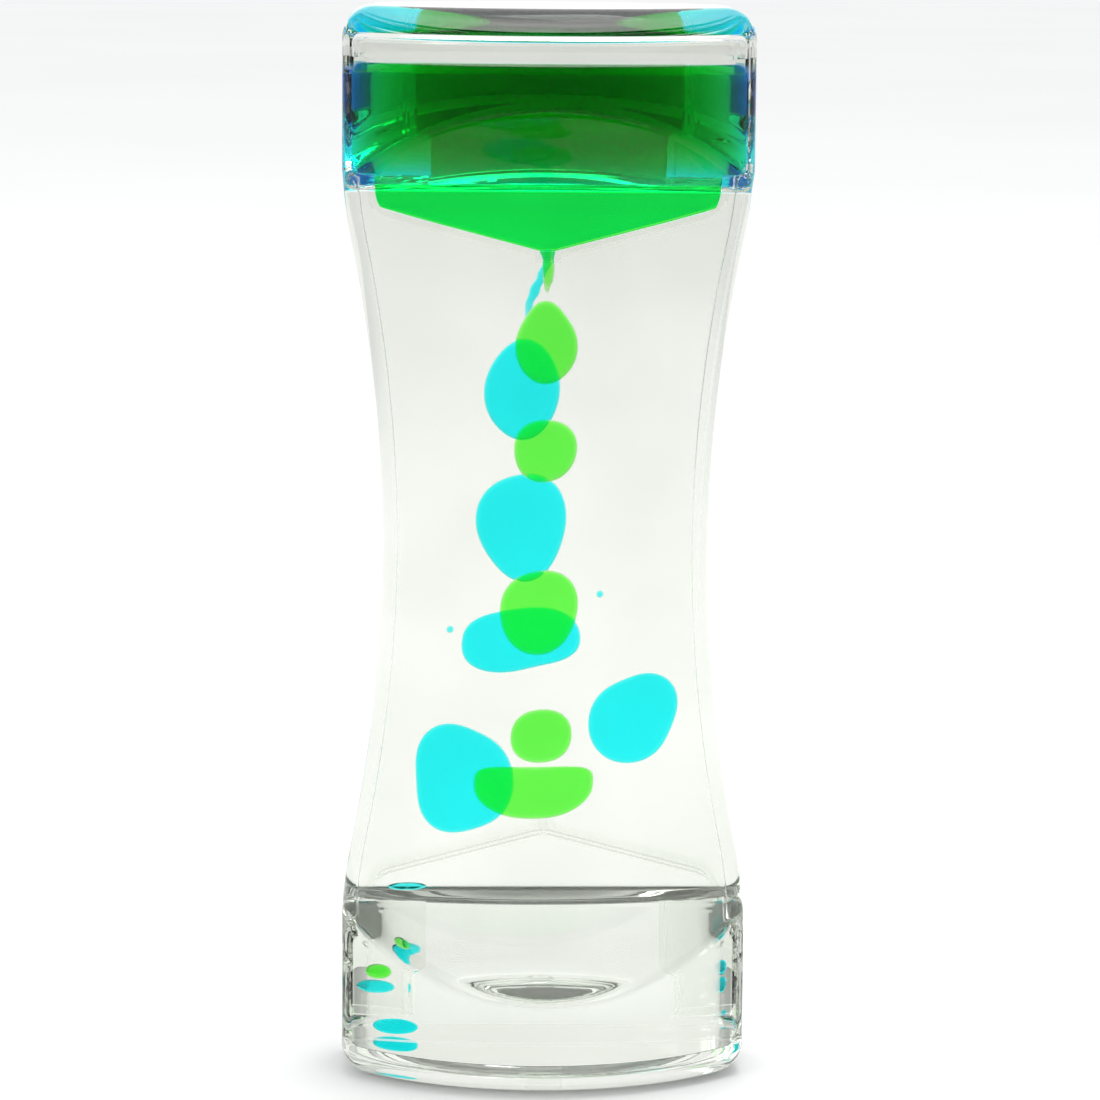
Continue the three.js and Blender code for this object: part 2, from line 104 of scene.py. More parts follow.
def add_bump(tree, shader, scale, strength, distance):
    """Fine unevenness of a moulded or liquid surface. Returns the coordinates for other textures."""
    coords = tree.nodes.new("ShaderNodeTexCoord")
    noise = tree.nodes.new("ShaderNodeTexNoise")
    noise.inputs["Scale"].default_value = scale
    noise.inputs["Detail"].default_value = BUMP_DETAIL
    bump = tree.nodes.new("ShaderNodeBump")
    bump.inputs["Strength"].default_value = strength
    bump.inputs["Distance"].default_value = distance
    tree.links.new(coords.outputs["Object"], noise.inputs["Vector"])
    tree.links.new(noise.outputs["Fac"], bump.inputs["Height"])
    tree.links.new(bump.outputs["Normal"], shader.inputs["Normal"])
    return coords


def add_tint(tree, shader, coords, scale, dark, light):
    """Soft cloudy change between two close colours."""
    noise = tree.nodes.new("ShaderNodeTexNoise")
    noise.inputs["Scale"].default_value = scale
    noise.inputs["Detail"].default_value = TINT_DETAIL
    ramp = tree.nodes.new("ShaderNodeValToRGB")
    first, second = ramp.color_ramp.elements
    first.position = TINT_LOW
    first.color = (*dark, 1)
    second.position = TINT_HIGH
    second.color = (*light, 1)
    tree.links.new(coords.outputs["Object"], noise.inputs["Vector"])
    tree.links.new(noise.outputs["Fac"], ramp.inputs["Fac"])
    tree.links.new(ramp.outputs["Color"], shader.inputs["Base Color"])


def clear_plastic(name, ior, dark, light, wave=0.12, glint=1.0):
    """Clear surface. glint scales its reflection and leaves the refraction as it is."""
    material, tree, shader = new_material(name)
    shader.inputs["Transmission Weight"].default_value = 1.0
    shader.inputs["IOR"].default_value = ior
    shader.inputs["Roughness"].default_value = 0.0
    shader.inputs["Specular Tint"].default_value = (glint, glint, glint, 1)
    coords = add_bump(tree, shader, 90.0, wave, 0.00004)
    add_tint(tree, shader, coords, 60.0, dark, light)
    return material


LIQUID_IOR = 1.03
LIQUID_GLINT = 0.5


def dyed_liquid(name, loss_per_metre, density):
    """Liquid whose colour comes from its depth. loss_per_metre is what each channel loses; the deep green's
    losses also hold painted shade.
    """
    material, tree, shader = new_material(name)
    shader.inputs["Transmission Weight"].default_value = 1.0
    shader.inputs["IOR"].default_value = LIQUID_IOR
    shader.inputs["Roughness"].default_value = 0.0
    shader.inputs["Specular Tint"].default_value = (LIQUID_GLINT, LIQUID_GLINT, LIQUID_GLINT, 1)
    coords = add_bump(tree, shader, 160.0, 0.1, 0.00005)
    add_tint(tree, shader, coords, 140.0, (0.97, 0.985, 0.97), (1, 1, 1))
    volume = tree.nodes.new("ShaderNodeVolumeAbsorption")
    colour = [max(0.0, 1 - loss / density) for loss in loss_per_metre]
    volume.inputs["Color"].default_value = (*colour, 1)
    volume.inputs["Density"].default_value = density
    output = tree.nodes["Material Output"]
    tree.links.new(volume.outputs["Volume"], output.inputs["Volume"])
    return material


CASE_OUTER = clear_plastic("case_outer_plastic", 1.49, (0.80, 0.81, 0.78), (0.83, 0.84, 0.81), glint=0.12)
CASE_INNER = clear_plastic("case_wetted_plastic", 1.04, (0.96, 0.965, 0.955), (0.98, 0.985, 0.975))
CASE_SEAM = clear_plastic("case_glued_seam", 1.0, (0.97, 0.975, 0.965), (0.985, 0.99, 0.98), wave=0.0)
CASE_DRY = clear_plastic("case_dry_plastic", 1.6, (0.9, 0.905, 0.89), (0.93, 0.935, 0.92))
INSERT = clear_plastic("insert_plastic", 1.015, (0.965, 0.97, 0.96), (0.985, 0.99, 0.98))
CARRIER = clear_plastic("carrier_liquid", 1.0, (0.985, 0.99, 0.98), (0.995, 0.997, 0.992), wave=0.0)
# The deep pair is for the thick layer in the upper block, the other for the cup, the drops and the threads.
# The deep green loses far more green per metre than the other green: painted shade that darkens the thick
# layer beyond what its depth gives.
GREEN = dyed_liquid("green_dyed_liquid", (1150, 17, 1500), 1900)
BLUE = dyed_liquid("blue_dyed_liquid", (2400, 50, 12), 2600)
GREEN_DEEP_SHADED = dyed_liquid("green_liquid_deep_painted_shade", (1150, 118, 650), 1900)
BLUE_DEEP = dyed_liquid("blue_dyed_liquid_deep", (2400, 44, 4), 2600)


# ---------------------------------------------------------------- mesh helpers
def build(name, points, faces, materials, face_materials=None, sharp=35):
    """Object from points in millimetres. Edges steeper than sharp degrees stay hard."""
    mesh = bpy.data.meshes.new(name)
    mesh.from_pydata([tuple(c * MM for c in p) for p in points], [], faces)
    for material in materials:
        mesh.materials.append(material)
    if face_materials is not None:
        mesh.polygons.foreach_set("material_index", face_materials)
    mesh.validate()
    mesh.shade_smooth()
    mesh.set_sharp_from_angle(angle=math.radians(sharp))
    mesh.update()
    obj = bpy.data.objects.new(name, mesh)
    scene.collection.objects.link(obj)
    return obj


def place(obj, body, slot_name, *nodes):
    """Puts a piece on its body in place of the nodes it stands for."""
    if nodes:
        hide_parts(*nodes)
    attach(obj, body)
    return obj


# ---------------------------------------------------------------- hourglass envelope
# The outline is a shallow curve for the waist, cut off at the width of the blocks. The faces of the blocks
# are parts of a wide cylinder, and the shoulders slope from them to the flat waist.
WAIST_HALF_WIDTH = 20.65
WAIST_CURVE = 0.00265
BLOCK_HALF_WIDTH = 25.75
WAIST_BLEND = 1.2
FACE_RADIUS = 34.0
BLOCK_HALF_DEPTH = 18.0
SHOULDER_RUN = 1.2
SHOULDER_REACH = 16.0
HOLLOW_TOP = 64.5
HOLLOW_END_RADIUS = 1.0


def half_width(h):
    """Half the width of the case at a height."""
    curve = WAIST_HALF_WIDTH + WAIST_CURVE * h * h
    mix = max(0.0, WAIST_BLEND - abs(curve - BLOCK_HALF_WIDTH)) / WAIST_BLEND
    return min(curve, BLOCK_HALF_WIDTH) - mix * mix * WAIST_BLEND / 4


def end_round(h, top, radius):
    """How far a rounded end has drawn in at a height."""
    left = top - abs(h)
    if left >= radius:
        return 0.0
    reach = radius - max(0.0, left)
    return radius - math.sqrt(max(0.0, radius * radius - reach * reach))


def soft_min(a, b, width):
    """Smaller of two depths, with a fillet where they cross."""
    mix = np.maximum(0.0, 1 - np.abs(a - b) / width)
    return np.minimum(a, b) - width / 4 * mix * mix


def soft_rise(value, width):
    """max(0, value) with a small fillet at zero."""
    mix = max(0.0, 1 - abs(value) / width)
    return max(0.0, value) + width / 4 * mix * mix


class Shape:
    """One nested surface of a half case: outer wall, hollow, or the liquid inside it."""

    def __init__(self, top, end_radius, side, face, flat, shoulder, corner, fillet):
        self.top = top
        self.end_radius = end_radius
        self.side = side
        self.face = face
        self.flat = flat
        self.shoulder = shoulder
        self.corner = corner
        self.fillet = fillet

    def width(self, h):
        """Half width at one height."""
        return half_width(h) - self.side - end_round(h, self.top, self.end_radius)

    def depth(self, x, h):
        """Depth of the face at each x, for one height."""
        shrink = end_round(h, self.top, self.end_radius)
        width = self.width(h)
        radius = FACE_RADIUS - self.face
        corner = self.corner
        sweep = math.pi / 2 - math.asin((width - corner * 0.3) / radius)
        inner = width - corner * (1 - math.cos(sweep))

        def bulge(v):
            return BLOCK_HALF_DEPTH - self.face - radius + np.sqrt(radius * radius - v * v)

        start = bulge(np.float64(inner)) - shrink - corner * math.sin(sweep)
        far = np.abs(x)
        cosine = np.clip(1 - (width - far) / corner, -1, 1)
        lens = np.where(far <= inner, bulge(np.minimum(far, inner)) - shrink,
                        start + corner * np.sqrt(1 - cosine * cosine))
        run = min(SHOULDER_REACH, SHOULDER_RUN * soft_rise(abs(h) - self.shoulder, self.fillet))
        slim_width = width - corner
        over = np.clip((far - slim_width) / corner, 0, 1)
        slim = self.flat + run - corner + corner * np.sqrt(1 - over * over)
        return soft_min(lens, slim, self.fillet * 1.6)


def outer_shape():
    return Shape(top=MID, end_radius=4.0, side=0.0, face=0.0, flat=5.4, shoulder=45.4, corner=2.4, fillet=0.6)


def hollow_shape(clear):
    """Inside of a half case, or with clear above zero something that fits into it with that gap."""
    return Shape(top=HOLLOW_TOP - clear, end_radius=HOLLOW_END_RADIUS, side=2.1 + clear, face=2.4 + clear,
                 flat=2.8 - clear, shoulder=46.4 + clear * 0.45, corner=0.9, fillet=0.45)


CORNER_STEPS = 9
FACE_STEPS = 56
END_STEPS = 9
WAIST_STEP = 1.6
SHOULDER_LEAD = 1.2
FILLET_STEP = 0.2
SLOPE_START = 1.5
SLOPE_STEP = 0.3
SLOPE_REACH = 12.6
BLOCK_STEP = 0.9


def ring_positions(width, corner):
    """x of each ring point, close together at the rounded corners."""
    xs = []
    for i in range(CORNER_STEPS + 1):
        angle = math.pi / 2 * i / CORNER_STEPS
        xs.append(-width + corner * (1 - math.cos(angle)))
    flat = width - corner
    for i in range(1, FACE_STEPS):
        xs.append(-flat + 2 * flat * i / FACE_STEPS)
    for i in range(CORNER_STEPS, -1, -1):
        angle = math.pi / 2 * i / CORNER_STEPS
        xs.append(width - corner * (1 - math.cos(angle)))
    return np.array(xs)


def level_heights(top, end_radius, shoulder):
    """Heights from the middle up: wide steps in the waist, fine ones on the shoulder and the end."""
    marks = [0.0]
    while marks[-1] < shoulder - 3:
        marks.append(marks[-1] + WAIST_STEP)
    step_up = shoulder - SHOULDER_LEAD
    marks = [m for m in marks if m < step_up - WAIST_STEP / 2]
    marks += list(np.arange(step_up, shoulder + SHOULDER_LEAD, FILLET_STEP))
    marks += list(np.arange(shoulder + SLOPE_START, shoulder + SLOPE_REACH, SLOPE_STEP))
    last = marks[-1]
    stop = top - end_radius
    count = max(2, int((stop - last) / BLOCK_STEP))
    marks += [last + (stop - last) * (i + 1) / count for i in range(count)]
    for i in range(1, END_STEPS + 1):
        marks.append(top - end_radius * (1 - math.sin(math.pi / 2 * i / END_STEPS)))
    return marks


def both_ends(marks):
    """Heights from the lower end to the upper one."""
    return [-m for m in reversed(marks[1:])] + marks


# ---------------------------------------------------------------- shells
SEAM_HALF = 0.02
REBATE_REACH = 0.9
REBATE_HALF = 1.05
CAP_SCALE = 0.97
DRY_HEIGHT = 61.2
OUTER_FACE, WETTED_FACE, SEAM_FACE, DRY_FACE = range(4)


def half_case(name, side):
    """Front (side -1) or back (side 1) shell: outer wall, hollow and glued seam, one closed mesh.

    The hollow carries the rebate for the divider at both sides. It is wetted up to DRY_HEIGHT.
    """
    outer = outer_shape()
    hollow = hollow_shape(0.0)
    outer_marks = level_heights(outer.top, outer.end_radius, outer.shoulder)
    inner_marks = level_heights(hollow.top, hollow.end_radius, hollow.shoulder)
    count = min(len(outer_marks), len(inner_marks))
    outer_marks = resample(outer_marks, count)
    inner_marks = resample(inner_marks, count)
    points = []
    faces = []
    kinds = []

    def ring(shape, h, notch):
        """Half ring from seam to seam at one height. notch is the reach of the rebate."""
        width = shape.width(h)
        xs = ring_positions(width, shape.corner)
        depths = shape.depth(xs, h)
        line = []
        wide = width + notch
        line.append((-wide, SEAM_HALF))
        if notch:
            line.append((-wide, REBATE_HALF))
            line.append((-width, REBATE_HALF))
        start = depths[0]
        first = REBATE_HALF if notch else SEAM_HALF
        halfway = first + (start - first) * 0.5
        line.append((-width, halfway))
        line += [(x, d) for x, d in zip(xs, depths)]
        line.append((width, halfway))
        if notch:
            line.append((width, REBATE_HALF))
            line.append((wide, REBATE_HALF))
        line.append((wide, SEAM_HALF))
        return line

    def skin(shape, marks, notch, outward, kind):
        """One wall with its two end caps. Returns its first point, the ring size and the ring count."""
        heights = both_ends(marks)
        base = len(points)
        size = None
        for h in heights:
            line = ring(shape, h, notch)
            size = len(line)
            points.extend((x, side * d, MID + h) for x, d in line)
        for level in range(len(heights) - 1):
            for i in range(size - 1):
                a = base + level * size + i
                quad = (a, a + 1, a + 1 + size, a + size)
                dry = kind == WETTED_FACE and heights[level] > DRY_HEIGHT
                add_face(quad, outward, DRY_FACE if dry else kind)
        for level, up in ((0, False), (len(heights) - 1, True)):
            if up and kind == WETTED_FACE:
                kind = DRY_FACE
            loop = [base + level * size + i for i in range(size)]
            middle = len(points)
            for index in loop:
                x, y, z = points[index]
                points.append((x * CAP_SCALE, y * CAP_SCALE if abs(y) > 0.5 else y, z))
            for i in range(size - 1):
                quad = (loop[i], loop[i + 1], middle + i + 1, middle + i)
                add_face(quad if up else tuple(reversed(quad)), not outward, kind)
            quad = (loop[size - 1], loop[0], middle, middle + size - 1)
            add_face(quad if up else tuple(reversed(quad)), not outward, kind)
            cap = [middle + i for i in range(size)]
            add_face(tuple(cap) if up else tuple(reversed(cap)), not outward, kind)
        return base, size, len(heights)

    def add_face(loop, flip, kind):
        if (side > 0) == flip:
            loop = tuple(reversed(loop))
        faces.append(loop)
        kinds.append(kind)

    ob, osz, levels = skin(outer, outer_marks, 0.0, True, OUTER_FACE)
    ib, isz, _ = skin(hollow, inner_marks, REBATE_REACH, False, WETTED_FACE)
    for level in range(levels - 1):
        oa, oc = ob + level * osz, ob + (level + 1) * osz
        ia, ic = ib + level * isz, ib + (level + 1) * isz
        add_face((oa, oc, ic, ia), False, SEAM_FACE)
        add_face((oa + osz - 1, ia + isz - 1, ic + isz - 1, oc + osz - 1), False, SEAM_FACE)
    top_o, top_i = ob + (levels - 1) * osz, ib + (levels - 1) * isz
    add_face((top_o, top_o + osz - 1, top_i + isz - 1, top_i), False, SEAM_FACE)
    add_face((ob, ib, ib + isz - 1, ob + osz - 1), False, SEAM_FACE)
    return build(name, points, faces, [CASE_OUTER, CASE_INNER, CASE_SEAM, CASE_DRY], kinds)


def resample(marks, count):
    """The same heights cut down to an exact number, thinned where they are closest in the waist."""
    marks = list(marks)
    while len(marks) > count:
        gaps = [marks[i + 1] - marks[i - 1] for i in range(1, len(marks) - 12)]
        marks.pop(1 + int(np.argmin(gaps[: max(1, len(gaps) // 4)])))
    return marks


place(half_case("case_front", -1), "case", "clear_case", "front_shell")
place(half_case("case_back", 1), "case", "clear_case", "back_shell")
bpy.context.view_layer.update()

# The inserts and the plugs keep their own meshes.
for node in ("upper_front_funnel", "lower_front_funnel", "upper_back_funnel", "lower_back_funnel",
             "front_fill_plug", "back_fill_plug"):
    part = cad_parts[node]
    part.data.materials.clear()
    part.data.materials.append(INSERT)


# ---------------------------------------------------------------- divider and carrier liquid
PANEL_LEVELS = 93
PANEL_TOP = 64.4
PANEL_HALF = 0.75
PANEL_EDGE = 1.5
CHAMBER_FACE = 1.1
CHAMBER_GAP = 0.1


def lofted(name, rings, materials, sharp=35):
    """Closed body through rings of equal length; every ring turns the same way, seen from the last one."""
    size = len(rings[0])
    points = [p for ring in rings for p in ring]
    faces = []
    for level in range(len(rings) - 1):
        for i in range(size):
            j = (i + 1) % size
            a, b = level * size + i, level * size + j
            faces.append((a, b, b + size, a + size))
    faces.append(tuple(reversed(range(size))))
    last = (len(rings) - 1) * size
    faces.append(tuple(last + i for i in range(size)))
    return build(name, points, faces, materials, sharp=sharp)


def chamber_body(name, side):
    """Clear carrier liquid that fills one chamber."""
    shape = hollow_shape(CHAMBER_GAP)
    marks = both_ends(level_heights(shape.top, shape.end_radius, shape.shoulder))
    rings = []
    for h in marks:
        width = shape.width(h)
        xs = ring_positions(width, shape.corner)
        depths = shape.depth(xs, h)
        line = [(x, d) for x, d in zip(xs, depths)]
        line = [(-width, CHAMBER_FACE)] + line + [(width, CHAMBER_FACE)]
        ring = [(x, side * d, MID + h) for x, d in line]
        if side > 0:
            ring.reverse()
        rings.append(ring)
    return lofted(name, rings, [CARRIER])


def divider():
    """Flat panel between the chambers, held by the rebate at both sides."""
    rings = []
    for h in np.linspace(-PANEL_TOP, PANEL_TOP, PANEL_LEVELS):
        edge = half_width(h) - PANEL_EDGE - end_round(h, HOLLOW_TOP, HOLLOW_END_RADIUS)
        corners = ((-edge, -PANEL_HALF), (edge, -PANEL_HALF), (edge, PANEL_HALF), (-edge, PANEL_HALF))
        rings.append([(x, y, MID + h) for x, y in corners])
    return lofted("divider_panel", rings, [INSERT])


place(divider(), "case", "clear_insert", "divider_plate")
place(chamber_body("front_carrier_liquid", -1), "case", "clear_liquid", "front_clear_liquid")
place(chamber_body("back_carrier_liquid", 1), "case", "clear_liquid", "back_clear_liquid")


# ---------------------------------------------------------------- coloured reserves
FUNNEL_HALF_WIDTH = 21.8
FUNNEL_APEX = 37.2
FUNNEL_SLOPE = 0.262
FUNNEL_CORNER = 2.2
FUNNEL_BLEND = 2.4
FLOOR_TOP = 48.3
GREEN_LEVEL = 61.0
BLUE_LEVEL = 59.4
RISER_EDGE = 14.7
RISER_FACE = 3.9
RESERVE_LOW = 47.0
RESERVE_FACE = 1.05
RESERVE_GAP = 0.12
RESERVE_STEP = 0.3
RIM_RADIUS = 1.6
RIM_STEPS = 9
CUP_LOW = 37.5
CUP_LEVELS = 60
CUP_TIP = 1.0
CUP_EDGE = 0.35
CUP_GAP = 0.2
JOINT_GAP = 0.04


def cup_half_width(h):
    """Half width of the V shaped cup at a height, with its rounded lower corner."""
    slope_x = (h - FUNNEL_APEX) / FUNNEL_SLOPE
    side_x = FUNNEL_HALF_WIDTH
    corner_h = FUNNEL_APEX + FUNNEL_SLOPE * FUNNEL_HALF_WIDTH
    over = h - corner_h
    if over >= FUNNEL_CORNER:
        return side_x
    mix = max(0.0, 1 - abs(slope_x - side_x) / (FUNNEL_BLEND / FUNNEL_SLOPE))
    return min(slope_x, side_x) - mix * mix * FUNNEL_BLEND / 4


def block_part(name, side, level, material):
    """Coloured liquid in the upper block, with pockets for the two risers."""
    shape = hollow_shape(RESERVE_GAP)
    shape.top = level
    shape.end_radius = RIM_RADIUS
    rings = []
    heights = list(np.linspace(RESERVE_LOW, FLOOR_TOP - 0.02, 6))
    heights += list(np.arange(FLOOR_TOP + 0.02, level - 1.7, RESERVE_STEP))
    for i in range(RIM_STEPS):
        heights.append(level - RIM_RADIUS * (1 - math.sin(math.pi / 2 * i / (RIM_STEPS - 1))))
    for h in heights:
        in_cup = h < FLOOR_TOP
        width = min(shape.width(h), FUNNEL_HALF_WIDTH - 0.14) if in_cup else shape.width(h)
        riser_face = RESERVE_FACE + 0.02 if in_cup else RISER_FACE
        xs = ring_positions(width, shape.corner)
        depths = np.maximum(shape.depth(xs, h), riser_face + JOINT_GAP)
        line = [(x, d) for x, d in zip(xs, depths)]
        back_line = [(width, riser_face), (RISER_EDGE, riser_face), (RISER_EDGE, RESERVE_FACE),
                     (-RISER_EDGE, RESERVE_FACE), (-RISER_EDGE, riser_face), (-width, riser_face)]
        ring = [(x, side * d, MID + h) for x, d in line + back_line]
        if side > 0:
            ring.reverse()
        rings.append(ring)
    return lofted(name, rings, [material])


def cup_part(name, side, material):
    """Coloured liquid in the V shaped cup below the block."""
    shape = hollow_shape(CUP_GAP)
    rings = []
    for i in range(CUP_LEVELS + 1):
        h = CUP_LOW + (RESERVE_LOW - JOINT_GAP - CUP_LOW) * i / CUP_LEVELS
        half = max(cup_half_width(h) - RESERVE_GAP, CUP_TIP)
        edge = min(CUP_EDGE, half * 0.4)
        front = shape.flat + SHOULDER_RUN * soft_rise(h - shape.shoulder, shape.fillet)
        ring = []
        for cx, cy, a0 in ((half - edge, front - edge, 0), (-half + edge, front - edge, 90),
                           (-half + edge, RESERVE_FACE + edge, 180), (half - edge, RESERVE_FACE + edge, 270)):
            for k in range(5):
                a = math.radians(a0 + 90 * k / 4)
                ring.append((cx + edge * math.cos(a), side * (cy + edge * math.sin(a)), MID + h))
        if side < 0:
            ring.reverse()
        rings.append(ring)
    return lofted(name, rings, [material])


def reserve(name, side, level, deep, thin):
    """All coloured liquid above the nozzle: the block part and the cup, in one piece."""
    block = block_part(name, side, level, deep)
    block.data.materials.append(thin)
    return join(block, cup_part(name + "_cup", side, thin))


def join(main, other):
    """Takes the second object's mesh into the first as one more closed body, with the last material."""
    a, b = main.data, other.data
    points = [tuple(v.co) for v in a.vertices] + [tuple(v.co) for v in b.vertices]
    shift = len(a.vertices)
    faces = [tuple(p.vertices) for p in a.polygons]
    kinds = [p.material_index for p in a.polygons]
    faces += [tuple(v + shift for v in p.vertices) for p in b.polygons]
    kinds += [len(a.materials) - 1] * len(b.polygons)
    mesh = bpy.data.meshes.new(main.name)
    mesh.from_pydata(points, [], faces)
    for material in a.materials:
        mesh.materials.append(material)
    mesh.polygons.foreach_set("material_index", kinds)
    mesh.shade_smooth()
    mesh.set_sharp_from_angle(angle=math.radians(35))
    mesh.update()
    main.data = mesh
    bpy.data.objects.remove(other)
    return main


green_reserve = reserve("green_reserve", -1, GREEN_LEVEL, GREEN_DEEP_SHADED, GREEN)
blue_reserve = reserve("blue_reserve", 1, BLUE_LEVEL, BLUE_DEEP, BLUE)
place(green_reserve, "case", "green_liquid", "green_liquid_reserve")
place(blue_reserve, "case", "blue_liquid", "blue_liquid_reserve")


# ---------------------------------------------------------------- drops
SLOT_MID = 1.775
DROP_HALF = 0.825
BEAN_BEND = 0.7
BEAN_POWERS = (0.85, 0.7)
PLAIN_POWERS = (1.0, 1.0)


def power(value, exponent):
    """Power of a number with its sign kept."""
    return math.copysign(abs(value) ** exponent, value)


def outline(x, h, width, height, terms, lean, count=96, bend=0.0, powers=PLAIN_POWERS):
    """Closed outline of a drop.

    terms are (cosine, sine) pairs that pull the round shape about, bend lifts the two ends, and powers below
    one make it squarer across and up.
    """
    turn = math.radians(lean)
    points = []
    for i in range(count):
        angle = 2 * math.pi * i / count
        radius = 1.0
        for order, (c, s) in enumerate(terms):
            radius += c * math.cos((order + 1) * angle) + s * math.sin((order + 1) * angle)
        u = width / 2 * radius * power(math.cos(angle), powers[0])
        v = height / 2 * radius * power(math.sin(angle), powers[1]) + bend * math.cos(2 * angle)
        points.append((x + u * math.cos(turn) - v * math.sin(turn),
                       h + u * math.sin(turn) + v * math.cos(turn)))
    return points


RIM_SHARE = 0.9
RIM_ARC = 0.94
RIM_LAYERS = 10
FACE_LAYERS = ((1.0, 0.8), (1.012, 0.6), (1.02, 0.35), (1.026, 0.12))


def pancake(name, material, side, edge_line, middle, half):
    """Drop squeezed between two walls: nearly flat faces and a full round rim."""
    cx = sum(p[0] for p in edge_line) / len(edge_line)
    ch = sum(p[1] for p in edge_line) / len(edge_line)
    reach = min(math.hypot(p[0] - cx, p[1] - ch) for p in edge_line)
    rim = min(half, reach * RIM_SHARE)
    profile = []
    steepest = math.sin(math.pi * RIM_ARC / 2)
    for i in range(RIM_LAYERS + 1):
        angle = math.pi * (i / RIM_LAYERS - 0.5) * RIM_ARC
        profile.append((half * math.sin(angle) / steepest, rim * (1 - math.cos(angle))))
    layers = []
    for lift, share in reversed(FACE_LAYERS):
        layers.append((-half * lift, rim, share))
    for y, shrink in profile:
        layers.append((y, shrink, 1.0))
    for lift, share in FACE_LAYERS:
        layers.append((half * lift, rim, share))
    rings = []
    for y, shrink, share in layers:
        ring = []
        for px, ph in edge_line:
            dx, dh = px - cx, ph - ch
            length = math.hypot(dx, dh)
            scale = (length - shrink) / length * share
            ring.append((cx + dx * scale, side * middle + y, MID + ch + dh * scale))
        ring.reverse()
        rings.append(ring)
    return lofted(name, rings, [material], sharp=60)


# x, h, width, height, outline terms and lean of each drop, from the top down
GREEN_DROPS = (
    (-0.1, 26.1, 7.6, 10.5, ((0.01, -0.08), (0.01, 0.0), (0.01, -0.04), (0.02, 0.0)), 0),
    (-0.1, 12.1, 8.1, 8.1, ((0.0, 0.02), (0.0, 0.02), (0.01, 0.02), (-0.015, 0.0)), 0),
    (-0.8, -8.6, 10.0, 11.0, ((0.01, 0.02), (0.0, 0.04), (-0.01, 0.03), (-0.015, 0.0)), 0),
    (-0.4, -24.6, 8.0, 7.1, ((0.01, 0.0), (0.0, 0.03), (0.0, 0.0), (-0.02, 0.0)), 0),
    (-1.2, -31.3, 15.3, 6.8, ((-0.01, 0.0), (0.0, 0.02), (0.0, 0.0), (0.0, 0.0)), 0),
)
BLUE_DROPS = (
    (-2.9, 19.7, 9.4, 12.9, ((-0.01, -0.02), (0.01, -0.01), (-0.01, -0.01), (0.01, 0.01)), -6),
    (-3.0, 2.1, 11.3, 14.0, ((0.02, 0.02), (0.01, 0.0), (-0.03, 0.05), (0.0, 0.0)), 0),
    (-2.9, -12.5, 15.3, 8.5, ((-0.02, 0.0), (0.02, 0.085), (0.02, -0.01), (-0.03, -0.03)), 0),
    (11.5, -22.7, 11.3, 11.6, ((0.0, 0.0), (0.0, 0.11), (-0.03, 0.03), (-0.02, 0.0)), 0),
    (-10.1, -30.7, 12.9, 14.2, ((-0.05, 0.0), (0.0, -0.03), (0.06, 0.0), (-0.03, 0.0)), 0),
)
for colour, drops, side, material in (("green", GREEN_DROPS, -1, GREEN), ("blue", BLUE_DROPS, 1, BLUE)):
    for number, (x, h, width, height, terms, lean) in enumerate(drops, 1):
        name = f"{colour}_drop_{number}"
        if name == "green_drop_5":
            line = outline(x, h, width, height, terms, lean, bend=BEAN_BEND, powers=BEAN_POWERS)
        else:
            line = outline(x, h, width, height, terms, lean)
        piece = pancake("falling_" + name, material, side, line, SLOT_MID, DROP_HALF)
        place(piece, name, f"{colour}_liquid", name)

# piece, liquid, side, x, h, depth of its middle, half depth, width, height and lean
SMALL = (
    ("blue_speck_1", BLUE, 1, 7.1, -6.6, 1.78, 0.45, 0.9, 0.9, 0),
    ("blue_speck_2", BLUE, 1, -12.0, -11.2, 1.78, 0.45, 0.9, 0.9, 0),
    ("green_bead_1", GREEN, -1, -18.0, -52.4, 5.4, 0.7, 2.4, 1.2, -40),
    ("green_bead_2", GREEN, -1, -19.8, -54.4, 5.4, 1.0, 3.6, 1.9, 0),
    ("blue_bead_1", BLUE, 1, -17.9, -58.2, 4.6, 0.9, 4.6, 1.7, 0),
    ("blue_bead_2", BLUE, 1, -15.6, -63.3, 4.2, 1.3, 5.2, 2.0, 0),
    ("blue_bead_3", BLUE, 1, -17.4, -44.8, 1.8, 0.55, 4.9, 1.0, 0),
)
for name, material, side, x, h, middle, half, width, height, lean in SMALL:
    line = outline(x, h, width, height, ((0.0, 0.0), (0.0, 0.03)), lean, 40)
    piece = pancake("loose_" + name, material, side, line, middle, half)
    place(piece, "case", "green_liquid" if side < 0 else "blue_liquid", name)


# ---------------------------------------------------------------- threads under the nozzles
THREAD_STEPS = 8
THREAD_SIDES = 20
THREAD_HALF = 0.72


def thread(name, material, side, stations):
    """Round thread through (x, h, radius) stations, joined by smooth steps."""
    rings = []
    for i in range(len(stations) - 1):
        (x0, h0, r0), (x1, h1, r1) = stations[i], stations[i + 1]
        for k in range(THREAD_STEPS):
            t = k / THREAD_STEPS
            s = t * t * (3 - 2 * t)
            rings.append((x0 + (x1 - x0) * s, h0 + (h1 - h0) * t, r0 + (r1 - r0) * s))
    rings.append(stations[-1])
    body = []
    for x, h, r in rings:
        ring = []
        for k in range(THREAD_SIDES):
            a = 2 * math.pi * k / THREAD_SIDES
            ring.append((x + r * math.cos(a), side * SLOT_MID + min(r, THREAD_HALF) * math.sin(a), MID + h))
        ring.reverse()
        body.append(ring)
    return lofted(name, body, [material], sharp=60)


